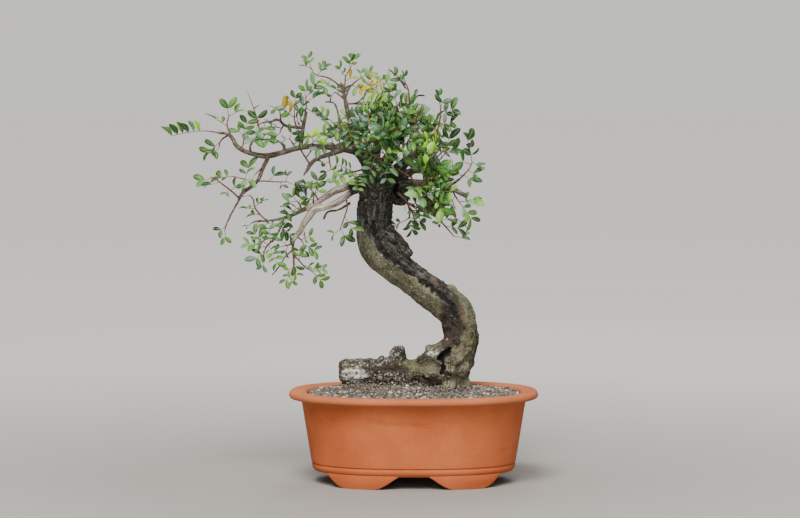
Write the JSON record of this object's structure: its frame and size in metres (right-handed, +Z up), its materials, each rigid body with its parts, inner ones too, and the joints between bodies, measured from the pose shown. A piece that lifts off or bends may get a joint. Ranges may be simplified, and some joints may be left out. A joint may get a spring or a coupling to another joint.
{
  "type": "mastic tree bonsai",
  "caption": "Small trained mastic tree with an S-shaped trunk, an old log-like lower trunk and sprays of pinnate leaves, growing in an oval terracotta pot with curved feet.",
  "frame": {"origin": "on the ground, under the middle of the whole tree's bounding box", "axes": "+Z up; +Y to the back, along the pot's depth, the shortest extent; +X to the right, along the pot's long side, with the crown leaning to -X"},
  "size_m": [0.4128, 0.209, 0.4837],
  "materials": {
    "terracotta": "unglazed, matte, faintly mottled",
    "soil": "loose fine gravel in grey, tan and cream grains",
    "bark": "rough olive-grey bark with dead wood and lichen",
    "foliage": "leathery leaflets with a satin sheen"
  },
  "bodies": {
    "root": {"pot": "terracotta", "soil": "soil", "tree_wood": "bark", "spray_far_left": "foliage", "spray_left_hanging": "foliage", "spray_left_upright": "foliage", "spray_left_crook": "foliage", "spray_left_tuft": "foliage", "spray_pale_upright": "foliage", "spray_yellow_tuft": "foliage", "spray_left_spire": "foliage", "spray_bright_pair": "foliage", "spray_blue_pair": "foliage", "spray_shoulder_left": "foliage", "spray_drop_tip": "foliage", "spray_drop_left": "foliage", "spray_drop_upper": "foliage", "spray_drop_mid": "foliage", "spray_drop_right": "foliage", "spray_thin_upright": "foliage", "spray_cluster_left": "foliage", "spray_cluster_top": "foliage", "spray_cluster_right": "foliage", "spray_hanging_bottom": "foliage", "spray_hanging_right": "foliage", "spray_nest_left": "foliage", "spray_nest_right": "foliage", "spray_fork_front": "foliage", "spray_trunk_drop": "foliage", "spray_apex_left": "foliage", "spray_apex_mid": "foliage", "spray_apex_right": "foliage", "spray_apex_yellow": "foliage", "spray_second_top": "foliage", "spray_second_front": "foliage", "spray_leader_front": "foliage", "spray_right_top": "foliage", "spray_right_node_front": "foliage", "spray_right_node_side": "foliage", "spray_right_spire": "foliage", "spray_right_column": "foliage", "spray_right_upper": "foliage", "spray_right_tip": "foliage", "spray_right_low_tip": "foliage", "spray_right_low_sprig": "foliage", "spray_right_front": "foliage", "spray_inner_low": "foliage", "spray_centre_front_spray": "foliage", "spray_centre_low_spray": "foliage", "spray_back_left_spray": "foliage", "spray_back_centre_spray": "foliage", "spray_back_right_spray": "foliage", "spray_back_low_spray": "foliage"}
  },
  "joints": []
}
